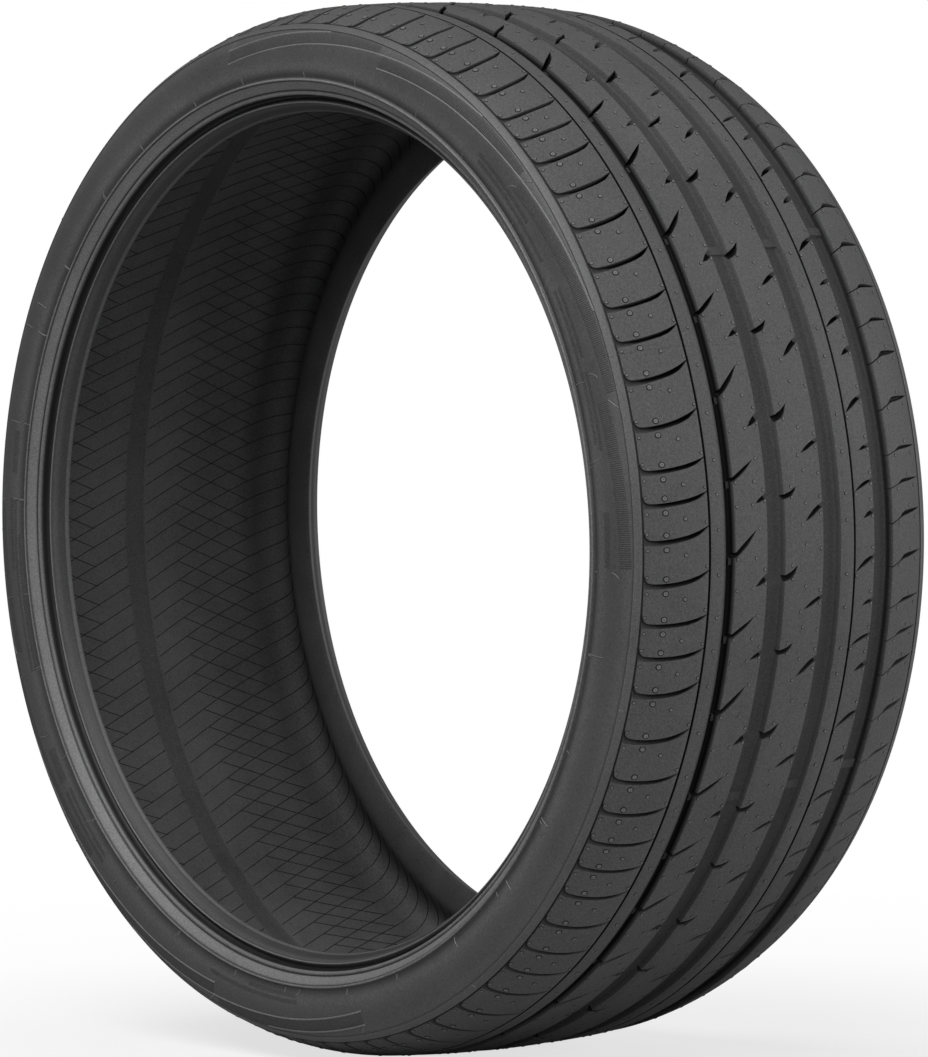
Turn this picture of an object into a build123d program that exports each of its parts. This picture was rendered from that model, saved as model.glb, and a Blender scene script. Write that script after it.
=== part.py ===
"""Low-profile car tyre, one vulcanised rubber moulding.

The axle runs along Y, Z is up and the origin is the centre of the wheel.
The outer side of the asymmetric tread, with the long shoulder grooves, faces -Y.
"""
import os
from math import radians, sqrt, tan

from build123d import *

# Beads, where they seat on the rim
rim_seat_diameter = 614.4
bead_interference = 0.8
bead_spacing = 241.0
bead_land = 4.0
bead_height = 29.1

# Section: rises from the bead bore, drops from the tread, and widths over both sides
section_height = 81.8
section_width = 287.0
flange_rise = 25.1
sidewall_drop = 31.0
shoulder_drop = 17.6
shoulder_width = 265.0
tread_width = 224.0
crown_radius = 1150.0

# Walls round the air space
tread_thickness = 15.6
sidewall_thickness = 10.5
liner_corner_drop = 35.0
shoulder_wall = 13.5

# Grooves round the tread, as the place of each across the tread and its width
groove_depth = 7.5
outer_groove = (-64.5, 8.5)
left_groove = (-22.5, 17.3)
right_groove = (30.9, 18.2)
inner_groove = (82.7, 19.6)

# Pitches: lengths in degrees before they are fitted to a full turn, and their order round the tread
pitch_lengths = {"A": 7.05, "B": 7.95, "C": 9.15, "D": 10.25}
pitch_order = "BDACDBDACADBACBDCABADBCACDABCBADCBACBDCABD"
first_pitch = 72.3

# Grooves across the outer shoulder, which fade out at both ends
shoulder_groove_start = 84.0
shoulder_groove_slope = 0.16
shoulder_groove_angle = 26.0
grooves_per_pitch = 2

# Notches from the outer groove into the rib beside it, one a pitch, which fade out at a point
notch_place = 0.33
notch_rise = 0.25
notch_reach = 19.2
notch_depth = 6.0
notch_angle = 38.0

# Cutters: how far a fading end stands clear of the rubber, and the height of their section
cut_clearance = 0.3
cut_height = 16.0

bead_radius = rim_seat_diameter / 2 - bead_interference
tread_radius = rim_seat_diameter / 2 + section_height
shoulder_radius = tread_radius - shoulder_drop
liner_width = shoulder_width - 2 * shoulder_wall
grooves = [outer_groove, left_groove, right_groove, inner_groove]


def crown_at(across):
    """Radius of the tread's crown at a distance from the centre line."""
    return tread_radius - crown_radius + sqrt(crown_radius**2 - across**2)


def wall_outside(side):
    """Outline of one sidewall as radius and place across, from the bead toe to the shoulder."""
    return [
        (bead_radius, side * (bead_spacing / 2 - bead_land)),
        (bead_radius, side * bead_spacing / 2),
        (bead_radius + flange_rise, side * section_width / 2),
        (tread_radius - sidewall_drop, side * section_width / 2),
        (shoulder_radius, side * shoulder_width / 2),
    ]


def wall_inside(side):
    """Outline of one side of the liner, from under the tread to the top of the bead."""
    return [
        (tread_radius - tread_thickness, side * liner_width / 2),
        (tread_radius - liner_corner_drop, side * (section_width / 2 - sidewall_thickness)),
        (bead_radius + bead_height, side * (bead_spacing / 2 - bead_land)),
    ]


def ribs():
    """Outline of the tread. Each rib is level, and the steps between ribs lie in the grooves."""
    edges = [-tread_width / 2] + [place for place, width in grooves] + [tread_width / 2]
    points = []
    for start, end in zip(edges, edges[1:]):
        radius = crown_at((start + end) / 2)
        points += [(radius, start), (radius, end)]
    return points


def vee_cutter(start, end, angle):
    """A straight cutter of V section. Its valley joins two points given as radius, across, along."""
    run = Vector(end) - Vector(start)
    half_width = cut_height * tan(radians(angle / 2))
    with BuildPart() as cutter:
        with BuildSketch(Plane(start, x_dir=(0, 0, -1), z_dir=run)):
            with BuildLine():
                Polyline((0, 0), (half_width, cut_height), (-half_width, cut_height), close=True)
            make_face()
        extrude(amount=run.length)
    return cutter.part


# Pitch starts round the tread, gathered by pitch length
degrees_per_unit = 360 / sum(pitch_lengths[letter] for letter in pitch_order)
pitch_starts = {letter: [] for letter in pitch_lengths}
angle = first_pitch
for letter in pitch_order:
    pitch_starts[letter].append(angle)
    angle -= pitch_lengths[letter] * degrees_per_unit

# Cuts across the tread: a cutter of each kind for each pitch length, turned to every place that it has
outer_rib_radius = crown_at((tread_width / 2 - outer_groove[0]) / 2)
notched_rib_radius = crown_at((outer_groove[0] + left_groove[0]) / 2)
notch_run = notch_reach + outer_groove[1] / 2
notch_fall = (notch_depth + cut_clearance) / notch_reach
tread_cuts = []
for letter, length in pitch_lengths.items():
    pitch_angle = length * degrees_per_unit
    pitch = radians(pitch_angle) * tread_radius
    shoulder_cutter = vee_cutter(
        (outer_rib_radius + cut_clearance, -shoulder_groove_start, 0),
        (shoulder_radius + cut_clearance, -shoulder_width / 2, -shoulder_groove_slope * pitch),
        shoulder_groove_angle,
    )
    tip_radius = notched_rib_radius + cut_clearance
    along = notch_rise * pitch
    notch_cutter = vee_cutter(
        (tip_radius, outer_groove[0] + notch_run, along),
        (tip_radius - notch_run * notch_fall, outer_groove[0], along * (1 - notch_run / notch_reach)),
        notch_angle,
    )
    for start in pitch_starts[letter]:
        tread_cuts.append(Rot(0, notch_place * pitch_angle - start, 0) * notch_cutter)
        for count in range(grooves_per_pitch):
            tread_cuts.append(Rot(0, count * pitch_angle / grooves_per_pitch - start, 0) * shoulder_cutter)

with BuildPart() as tyre:
    with BuildSketch():
        with BuildLine():
            Polyline(
                *wall_outside(-1), *ribs(), *reversed(wall_outside(1)),
                *reversed(wall_inside(1)), *wall_inside(-1), close=True,
            )
        make_face()
        for place, width in grooves:
            with Locations((crown_at(place) - groove_depth, place)):
                Rectangle(cut_height, width, align=(Align.MIN, Align.CENTER), mode=Mode.SUBTRACT)
    revolve(axis=Axis.Y)
    add(tread_cuts, mode=Mode.SUBTRACT)

tyre.part.label = "tyre"
os.makedirs("parts", exist_ok=True)
export_step(tyre.part, "parts/tyre.step")
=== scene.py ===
"""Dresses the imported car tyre: the tread pattern, the sidewalls and beads, and the lined inside.

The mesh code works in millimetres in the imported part's frame, with the axle along Y and Z up.
Places round the tyre are angles from +X towards +Z. Along the tread, "down" is the way of falling angles.
"""

from math import atan, ceil, cos, pi, radians, sin

import bpy
import numpy as np
from bpy.props import FloatProperty, FloatVectorProperty, IntProperty, PointerProperty
from bpy.types import Operator, Panel, PropertyGroup
from mathutils import Matrix, Vector
from mathutils.geometry import delaunay_2d_cdt


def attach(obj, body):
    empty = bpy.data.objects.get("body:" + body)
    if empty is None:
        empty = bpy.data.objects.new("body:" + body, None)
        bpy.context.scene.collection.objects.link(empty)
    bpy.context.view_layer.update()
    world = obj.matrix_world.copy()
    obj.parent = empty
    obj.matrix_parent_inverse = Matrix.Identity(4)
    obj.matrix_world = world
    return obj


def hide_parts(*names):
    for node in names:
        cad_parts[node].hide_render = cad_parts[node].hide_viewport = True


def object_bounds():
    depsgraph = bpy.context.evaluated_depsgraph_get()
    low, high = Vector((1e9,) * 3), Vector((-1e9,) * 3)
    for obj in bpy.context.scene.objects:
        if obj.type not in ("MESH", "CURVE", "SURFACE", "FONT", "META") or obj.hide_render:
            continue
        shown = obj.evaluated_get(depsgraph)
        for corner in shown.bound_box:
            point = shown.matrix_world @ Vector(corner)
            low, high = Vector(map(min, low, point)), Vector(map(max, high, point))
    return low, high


bl_info = {
    "name": "Car tyre",
    "version": (1, 0, 0),
    "blender": (4, 5, 0),
    "location": "View3D > Sidebar > Tyre",
    "description": "Builds the tread, sidewalls and liner of a car tyre round its packed solid",
    "category": "Add Mesh",
}

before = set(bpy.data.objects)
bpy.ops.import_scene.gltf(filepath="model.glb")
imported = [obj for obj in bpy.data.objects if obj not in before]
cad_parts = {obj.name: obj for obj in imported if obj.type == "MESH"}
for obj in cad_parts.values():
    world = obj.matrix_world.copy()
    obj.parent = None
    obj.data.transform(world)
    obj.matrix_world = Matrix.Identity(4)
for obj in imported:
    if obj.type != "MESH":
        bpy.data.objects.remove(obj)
CAD_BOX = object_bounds()

MM = 0.001
CAD_NODE = "tyre"
OUTER_RADIUS = min(CAD_BOX[1].x, CAD_BOX[1].z) / MM
# The two sides of the tyre, and the way that each faces along Y
SIDES = (("outer", -1), ("inner", 1))


class TyreTreadSettings(PropertyGroup):
    """Sizes of the tread pattern."""

    groove_depth: FloatProperty(
        name="Groove depth", description="Depth of the grooves round the tread",
        default=0.0064, unit="LENGTH",
    )
    sipe_depth: FloatProperty(
        name="Sipe depth", description="Depth of the thin cuts round the tread",
        default=0.0045, unit="LENGTH",
    )
    notch_depth: FloatProperty(
        name="Notch depth", description="Depth of the slanted notches in the ribs",
        default=0.0066, unit="LENGTH",
    )
    vent_height: FloatProperty(
        name="Vent height", description="How far a vent mark stands up from the rubber",
        default=0.00035, unit="LENGTH",
    )
    wear_bar_height: FloatProperty(
        name="Wear bar height", description="Height of the wear bars on the groove floors",
        default=0.0016, unit="LENGTH",
    )


class TyreSidewallSettings(PropertyGroup):
    """Sizes of what is moulded on the sidewalls."""

    panel_height: FloatProperty(
        name="Panel height", description="How far a sweep panel stands up",
        default=0.00015, unit="LENGTH",
    )
    lip_height: FloatProperty(
        name="Lip height", description="How far the edge of a sweep panel stands up",
        default=0.0005, unit="LENGTH",
    )
    bar_height: FloatProperty(
        name="Bar height", description="How far the bars of a fine band stand up",
        default=0.00018, unit="LENGTH",
    )


class TyreLinerSettings(PropertyGroup):
    """Sizes of the lines moulded in the liner."""

    line_count: IntProperty(
        name="Lines", description="Slanted lines in one turn of the liner",
        default=156, min=12,
    )
    line_width: FloatProperty(
        name="Line width", description="Width of a moulded line",
        default=0.0007, unit="LENGTH",
    )
    line_height: FloatProperty(
        name="Line height", description="How far a moulded line stands up",
        default=0.0005, unit="LENGTH",
    )


class TyreFinishSettings(PropertyGroup):
    """Colours of the rubber, with the liner lines' dark colour as painted shade."""

    tread_colour: FloatVectorProperty(
        name="Tread", description="Colour of the tread rubber",
        default=(0.092, 0.092, 0.093), subtype="COLOR",
    )
    sidewall_colour: FloatVectorProperty(
        name="Sidewall", description="Colour of the sidewall rubber",
        default=(0.088, 0.088, 0.089), subtype="COLOR",
    )
    panel_colour: FloatVectorProperty(
        name="Panel", description="Colour of the textured sweep panels",
        default=(0.054, 0.054, 0.055), subtype="COLOR",
    )
    liner_colour: FloatVectorProperty(
        name="Liner", description="Colour of the liner",
        default=(0.068, 0.068, 0.069), subtype="COLOR",
    )
    # The moulded lines' dark colour is painted shade along them
    painted_shade_line_colour: FloatVectorProperty(
        name="Liner lines", description="Colour of the moulded lines in the liner",
        default=(0.022, 0.022, 0.022), subtype="COLOR",
    )


class TyreStageSettings(PropertyGroup):
    """Floor, lamps and camera."""

    floor_colour: FloatVectorProperty(
        name="Floor", description="Colour of the floor",
        default=(0.85, 0.85, 0.85), subtype="COLOR",
    )
    floor_bounce: FloatVectorProperty(
        name="Floor bounce", description="Colour with which the floor lights the tyre",
        default=(0.45, 0.45, 0.45), subtype="COLOR",
    )
    shadow_reach: FloatProperty(
        name="Shadow reach", description="Distance from the tyre at which its shadow fades out",
        default=1.3, unit="LENGTH",
    )
    top_power: FloatProperty(
        name="Top lamp", description="Power of the lamp above the tyre",
        default=140.0, unit="POWER",
    )
    right_power: FloatProperty(
        name="Right lamp", description="Power of the lamp beside the tread",
        default=36.0, unit="POWER",
    )
    front_power: FloatProperty(
        name="Front lamp", description="Power of the lamp above the camera",
        default=46.0, unit="POWER",
    )
    rim_power: FloatProperty(
        name="Rim lamp", description="Power of the lamp behind the tread",
        default=62.0, unit="POWER",
    )
    ambient: FloatProperty(
        name="Room light", description="Strength of the light from all round",
        default=0.13, min=0.0,
    )


# Scales of the rubber's noises: its grain, its bloom, its slow change of tone and its pale specks
GRAIN_SCALE = 800.0
BLOOM_SCALE = 45.0
MOTTLE_SCALE = 9.0
SPECK_SCALE = 330.0
# How far the grain changes the tone, and the height of grain and ribbing in metres
GRAIN_TONE = 1.4
GRAIN_HEIGHT = 0.0002
# Ribs in one turn of the sweep panels' texture
PANEL_RIBS = 1500.0
# Materials by name, which the finishes operator makes
finishes = {}


class Value:
    """A number that a shader socket gives. Sums and products of values add Math nodes."""

    def __init__(self, shader, socket):
        self.shader = shader
        self.socket = socket

    def math(self, operation, first, second=None, clamp=False):
        """A Math node on two operands."""
        inputs = {0: first} if second is None else {0: first, 1: second}
        node = self.shader.node("ShaderNodeMath", {"operation": operation, "use_clamp": clamp}, inputs)
        return Value(self.shader, node.outputs[0])

    def __add__(self, other):
        return self.math("ADD", self, other)

    __radd__ = __add__

    def __sub__(self, other):
        return self.math("SUBTRACT", self, other)

    def __rsub__(self, other):
        return self.math("SUBTRACT", other, self)

    def __mul__(self, other):
        return self.math("MULTIPLY", self, other)

    __rmul__ = __mul__

    def __truediv__(self, other):
        return self.math("DIVIDE", self, other)

    def clamped(self):
        """The value held between 0 and 1."""
        return self.math("ADD", self, 0.0, clamp=True)


def set_stops(ramp, stops):
    """Gives a colour ramp its stops."""
    while len(ramp.elements) < len(stops):
        ramp.elements.new(1.0)
    for element, (place, grey) in zip(ramp.elements, stops):
        element.position = place
        element.color = (grey, grey, grey, 1.0)


class Shader:
    """A tree of shader nodes that is built by adding to it."""

    def __init__(self, tree):
        self.tree = tree

    def node(self, kind, settings=None, inputs=None):
        """Adds a node, sets its settings, then sets or links its inputs by name or number."""
        node = self.tree.nodes.new(kind)
        for label, setting in (settings or {}).items():
            if label == "stops":
                set_stops(node.color_ramp, setting)
            else:
                setattr(node, label, setting)
        self.feed(node, inputs or {})
        return node

    def feed(self, node, inputs):
        """Sets or links a node's inputs."""
        for label, given in inputs.items():
            if isinstance(given, Value):
                self.tree.links.new(given.socket, node.inputs[label])
            elif isinstance(given, bpy.types.NodeSocket):
                self.tree.links.new(given, node.inputs[label])
            else:
                node.inputs[label].default_value = given

    def value(self, kind, settings=None, inputs=None, output=0):
        """A number from a new node."""
        return Value(self, self.node(kind, settings, inputs).outputs[output])

    def noise(self, scale, detail, roughness=0.55):
        """Noise in the object's own space, about 0.5."""
        place = self.node("ShaderNodeTexCoord").outputs["Object"]
        inputs = {"Vector": place, "Scale": scale, "Detail": detail, "Roughness": roughness}
        return self.value("ShaderNodeTexNoise", {}, inputs, "Fac")

    def ramp(self, value, stops):
        """A number taken through a ramp of stops, each a place and a grey."""
        node = self.node("ShaderNodeValToRGB", {"stops": stops}, {"Fac": value})
        return Value(self, node.outputs["Color"])

    def shade(self, colour, factor):
        """A colour times a factor that changes over the surface."""
        grey = self.node("ShaderNodeCombineXYZ", {}, {"X": factor, "Y": factor, "Z": factor})
        inputs = {0: tuple(colour), 1: grey.outputs[0]}
        return self.node("ShaderNodeVectorMath", {"operation": "MULTIPLY"}, inputs).outputs[0]

    def ribs_round(self, count):
        """A wave between 0 and 1 with a number of crests in one turn round the axle."""
        place = self.node("ShaderNodeTexCoord").outputs["Object"]
        parts = self.node("ShaderNodeSeparateXYZ", {}, {0: place})
        inputs = {0: parts.outputs["Z"], 1: parts.outputs["X"]}
        turn = self.value("ShaderNodeMath", {"operation": "ARCTAN2"}, inputs)
        return self.value("ShaderNodeMath", {"operation": "SINE"}, {0: turn * count}) * 0.5 + 0.5

    def mix_colour(self, factor, first, second):
        """A colour between two others."""
        inputs = {"Factor": factor, 6: (*first, 1.0), 7: (*second, 1.0)}
        return self.node("ShaderNodeMix", {"data_type": "RGBA"}, inputs).outputs[2]

    def bump(self, height, distance, strength):
        """Turns a height into a normal."""
        inputs = {"Height": height, "Distance": distance, "Strength": strength}
        return self.node("ShaderNodeBump", {}, inputs).outputs["Normal"]

    def attribute(self, name):
        """A number stored on the mesh's points."""
        return self.value("ShaderNodeAttribute", {"attribute_name": name}, {}, "Fac")


def new_material(name):
    """A material, the shader that adds nodes to its tree, and its Principled BSDF."""
    material = bpy.data.materials.new(name)
    material.use_nodes = True
    return material, Shader(material.node_tree), material.node_tree.nodes["Principled BSDF"]


def rubber(name, colour, roughness, grain, mottle, sheen=0.1, ribbing=0.0, specks=0.0):
    """Rubber with a fine grain, a slow change of tone, a faint bloom, and ribbing with painted shade in its
    troughs, or pale specks.
    """
    material, shader, principled = new_material(name)
    fine = shader.noise(GRAIN_SCALE, 3.0)
    slow = shader.noise(MOTTLE_SCALE, 5.0)
    bloom = shader.noise(BLOOM_SCALE, 6.0, 0.65)
    tone = 1.0 + (slow - 0.5) * mottle + (bloom - 0.5) * (0.6 * mottle) + (fine - 0.5) * GRAIN_TONE
    height = fine
    if specks:
        spots = shader.ramp(shader.noise(SPECK_SCALE, 2.0), [(0.68, 0.0), (0.74, 1.0)])
        tone = tone + spots * specks
    if ribbing:
        ribs = shader.ribs_round(ribbing)
        height = fine * 0.4 + ribs
        # Painted shade in the troughs of the ribbing
        tone = tone * (0.6 + ribs * 0.8)
    rough = roughness + (bloom - 0.5) * 0.25 + (slow - 0.5) * 0.12
    shader.feed(
        principled,
        {
            "Base Color": shader.shade(colour, tone * shader.attribute("tone")),
            "Roughness": rough.clamped(),
            "Specular IOR Level": sheen,
            "Normal": shader.bump(height, GRAIN_HEIGHT, grain),
        },
    )
    return material


class TYRE_OT_finishes(Operator):
    """Makes the materials of the tyre."""

    bl_idname = "tyre.finishes"
    bl_label = "Finishes"

    def execute(self, context):
        colours = context.scene.tyre_finish
        finishes["tread"] = rubber("tread_rubber", colours.tread_colour, 0.6, 0.35, 0.35, specks=0.3)
        finishes["sidewall"] = rubber("sidewall_rubber", colours.sidewall_colour, 0.5, 0.3, 0.4, sheen=0.4)
        finishes["panel"] = rubber(
            "panel_rubber", colours.panel_colour, 0.6, 0.6, 0.3, sheen=0.3, ribbing=PANEL_RIBS
        )
        finishes["liner"] = rubber("liner_rubber", colours.liner_colour, 0.6, 0.5, 0.9)
        finishes["line"] = rubber("liner_line_rubber", colours.painted_shade_line_colour, 0.7, 0.3, 0.2)
        return {"FINISHED"}


def table_at(places, table):
    """Numbers that a table of places and numbers gives at some places."""
    return np.interp(places, *np.transpose(table))


def soften(points, rounds=2):
    """Cuts the corners of an open outline, which keeps its two ends."""
    points = np.array(points, float)
    for _ in range(rounds):
        near = 0.75 * points[:-1] + 0.25 * points[1:]
        far = 0.25 * points[:-1] + 0.75 * points[1:]
        corners = np.stack([near, far], 1).reshape(-1, points.shape[1])
        points = np.concatenate([points[:1], corners, points[-1:]])
    return points


def split_long(points, longest):
    """Adds points on the runs of an outline that are longer than a length."""
    made = [points[0]]
    for start, end in zip(points, points[1:]):
        parts = max(1, ceil(np.linalg.norm(end[:2] - start[:2]) / longest))
        made += [start + (end - start) * step / parts for step in range(1, parts + 1)]
    return np.array(made)


def grid_faces(rows, columns):
    """Faces of a grid of points that is stored row by row."""
    first = np.arange(rows - 1)[:, None] * columns + np.arange(columns - 1)
    return np.stack([first, first + 1, first + columns + 1, first + columns], axis=-1).reshape(-1, 4)


def revolved(outline, steps):
    """Points and faces of an outline, given as radius and place across, turned round the axle."""
    outline = np.asarray(outline, float)
    angles = np.arange(steps) * 2 * pi / steps
    radius, across = outline[:, 0], outline[:, 1]
    points = np.stack(
        [
            np.outer(np.cos(angles), radius),
            np.broadcast_to(across, (steps, len(across))),
            np.outer(np.sin(angles), radius),
        ],
        axis=-1,
    ).reshape(-1, 3)
    row = np.arange(len(outline) - 1)
    here = (np.arange(steps) * len(outline))[:, None] + row
    there = (np.roll(np.arange(steps), -1) * len(outline))[:, None] + row
    faces = np.stack([here, here + 1, there + 1, there], axis=-1).reshape(-1, 4)
    return points, faces


def join_meshes(parts):
    """One set of points and faces from several."""
    points = []
    faces = []
    count = 0
    for part_points, part_faces in parts:
        points.append(part_points)
        faces += (np.asarray(part_faces) + count).tolist()
        count += len(part_points)
    return np.concatenate(points), faces


def add_piece(name, points, faces, finish, smooth_angle, tones=1.0):
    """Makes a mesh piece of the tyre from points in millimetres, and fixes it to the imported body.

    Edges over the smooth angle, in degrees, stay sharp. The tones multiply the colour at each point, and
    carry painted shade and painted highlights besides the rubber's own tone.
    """
    mesh = bpy.data.meshes.new(name)
    mesh.from_pydata((np.asarray(points) * MM).tolist(), [], np.asarray(faces).tolist())
    mesh.validate()
    attribute = mesh.attributes.new("tone", "FLOAT", "POINT")
    attribute.data.foreach_set("value", np.full(len(points), tones, np.float32))
    mesh.shade_smooth()
    mesh.set_sharp_from_angle(angle=radians(smooth_angle))
    mesh.materials.append(finishes[finish])
    piece = bpy.data.objects.new(name, mesh)
    bpy.context.scene.collection.objects.link(piece)
    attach(piece, "root")
    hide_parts(CAD_NODE)


# The bare tread: radius, curve of the crown, start of the shoulders, edges, and sine of the steepest slope

TREAD_RADIUS = OUTER_RADIUS - 0.4
CROWN_CURVE = 2300.0
SHOULDER_START = 85.0
TREAD_EDGE = 132.3
TREAD_EDGE_DROP = 17.2
STEEPEST_SINE = 0.95


def shoulder_arc():
    """Start drop, start slope and radius of the arc that takes the crown down to the edge of the tread."""
    start_drop = SHOULDER_START**2 / CROWN_CURVE
    start_slope = atan(2 * SHOULDER_START / CROWN_CURVE)
    fall = TREAD_EDGE_DROP - start_drop
    reach = TREAD_EDGE - SHOULDER_START
    end_slope = 2 * atan(fall / reach) - start_slope
    return start_drop, start_slope, reach / (sin(end_slope) - sin(start_slope))


def crown(across):
    """Radius and slope of the bare tread, without its pattern, at places across it."""
    start_drop, start_slope, radius = shoulder_arc()
    reach = np.abs(across)
    slope_sine = sin(start_slope) + (reach - SHOULDER_START) / radius
    slope_sine = np.clip(slope_sine, -STEEPEST_SINE, STEEPEST_SINE)
    arc_drop = start_drop + radius * (cos(start_slope) - np.sqrt(1 - slope_sine**2))
    on_arc = reach > SHOULDER_START
    drop = np.where(on_arc, arc_drop, reach**2 / CROWN_CURVE)
    slope = np.where(on_arc, np.arcsin(slope_sine), np.arctan(2 * reach / CROWN_CURVE))
    return TREAD_RADIUS - drop, slope


def on_tread(across, angle, depth):
    """Points at a depth under the bare tread."""
    radius, slope = crown(across)
    radius = radius - depth * np.cos(slope)
    side = across - np.sign(across) * depth * np.sin(slope)
    return np.stack([radius * np.cos(angle), side, radius * np.sin(angle)], axis=-1)


# Pitches: lengths in degrees before they are fitted to a full turn, their order, and the first one's angle
PITCH_LENGTHS = {"A": 7.05, "B": 7.95, "C": 9.15, "D": 10.25}
PITCH_ORDER = "BDACDBDACADBACBDCABADBCACDABCBADCBACBDCABD"
FIRST_PITCH = 72.3
# Mesh of the tread: rows in a pitch, widest gap across, and how far its points keep from a cut
ROUND_STEPS = 8
FILL_SPACING = 5.0
CUT_MARGIN = 0.7
# A length that counts as none
TINY = 1e-6
# Painted shade in a notch: how its tone falls with its depth
POCKET_PAINTED_SHADE = [(0.0, 1.0), (0.4, 0.4), (1.5, 0.12), (4.0, 0.02)]

# Grooves round the tread, as their two edges, and thin cuts, as their places
OUTER_GROOVE = (-68.0, -59.9)
LEFT_GROOVE = (-30.9, -13.4)
RIGHT_GROOVE = (22.1, 40.4)
INNER_GROOVE = (73.2, 92.9)
OUTER_SIPE = -82.6
INNER_SIPE = 53.1
SIPE_WIDTH = 1.8
# Left edges of a groove, crisp or rounded, as millimetres out from the edge, depth and tone; the tone is a
# painted highlight on the crisp edge and painted shade down the rounded one
CRISP_EDGE = ((1.0, 0, 1), (0.5, 0, 1.3), (0, 0.25, 1.2))
ROUND_EDGE = ((3.2, 0, 1), (1.6, 0.3, 0.7), (0, 0.9, 0.25))
# Chamfers of a groove's right edge, as width and depth
NARROW_CHAMFER = (0.6, 0.25)
WIDE_CHAMFER = (4.4, 1.0)
# Places across the tread where its lanes meet, which lie in the grooves, and its two edges
LANE_EDGES = [-TREAD_EDGE, -64.0, -21.8, 31.6, 83.6, TREAD_EDGE]
# Share of a pitch at which each lane is divided, clear of every cut
LANE_SPLITS = [0.375, 0.875, 0.25, 0.25, 0.25]


def pitch_table():
    """Start of each pitch and its length, both in millimetres down the tread."""
    lengths = np.array([PITCH_LENGTHS[letter] for letter in PITCH_ORDER])
    lengths = lengths * 2 * pi / lengths.sum() * TREAD_RADIUS
    starts = np.concatenate([[0], np.cumsum(lengths)[:-1]])
    return starts, lengths


def angle_down(down):
    """Angle round the tyre at a distance down the tread."""
    return radians(FIRST_PITCH) - np.asarray(down) / TREAD_RADIUS


def groove_outline(edges, depth, painted_floor_shade, painted_wall_shade=1.2, chamfer=NARROW_CHAMFER, left_edge=CRISP_EDGE):
    """Section of a groove round the tread, as place across, depth and tone, with painted shade on its walls
    and floor.
    """
    left, right = edges
    # The walls and floor are darkened as painted shade
    foot = [(0.4, 0.6, painted_wall_shade), (1.0, 0.85, painted_wall_shade), (2.2, 0.97, 1.0), (3.4, 1.0, 1.0)]
    width, fall = chamfer
    return (
        [(left - reach, fall_there, tone) for reach, fall_there, tone in left_edge]
        + [(left + reach, depth * share, tone * painted_floor_shade) for reach, share, tone in foot]
        + [(right - reach, depth * share, tone * painted_floor_shade) for reach, share, tone in reversed(foot)]
        # Painted highlight on the right edge and its chamfer
        + [(right, fall, 1.6), (right + width, 0, 1.25), (right + width + 0.8, 0, 1)]
    )


def sipe_outline(place, depth):
    """Section of a thin cut round the tread, with painted shade inside it."""
    half = SIPE_WIDTH / 2
    return [
        (place - half - 0.2, 0, 1), (place - half, 0.1, 0.15), (place - half + 0.15, depth, 0.02),
        (place + half - 0.15, depth, 0.02), (place + half, 0.1, 0.15), (place + half + 0.2, 0, 1),
    ]


def tread_section(settings):
    """Depth and tone across the tread as one outline: the two edge steps, the sipes and the grooves."""
    groove = settings.groove_depth / MM
    sipe = settings.sipe_depth / MM
    return np.array(
        # The steps at both edges of the tread are darkened as painted shade
        [(-TREAD_EDGE, 1.3, 0.5), (-131.45, 1.3, 0.4), (-131.1, 0.15, 0.8), (-130.7, 0, 1)]
        + sipe_outline(OUTER_SIPE, sipe)
        + groove_outline(OUTER_GROOVE, groove, 0.03, 2.0, left_edge=ROUND_EDGE)
        + groove_outline(LEFT_GROOVE, groove, 0.6, chamfer=WIDE_CHAMFER)
        + groove_outline(RIGHT_GROOVE, groove, 0.6, chamfer=WIDE_CHAMFER)
        + sipe_outline(INNER_SIPE, sipe)
        + groove_outline(INNER_GROOVE, groove, 0.55, 0.3)
        + [(130.6, 0, 1), (131.05, 0.15, 0.8), (131.4, 1.3, 0.4), (TREAD_EDGE, 1.3, 0.5)]
    )


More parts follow.
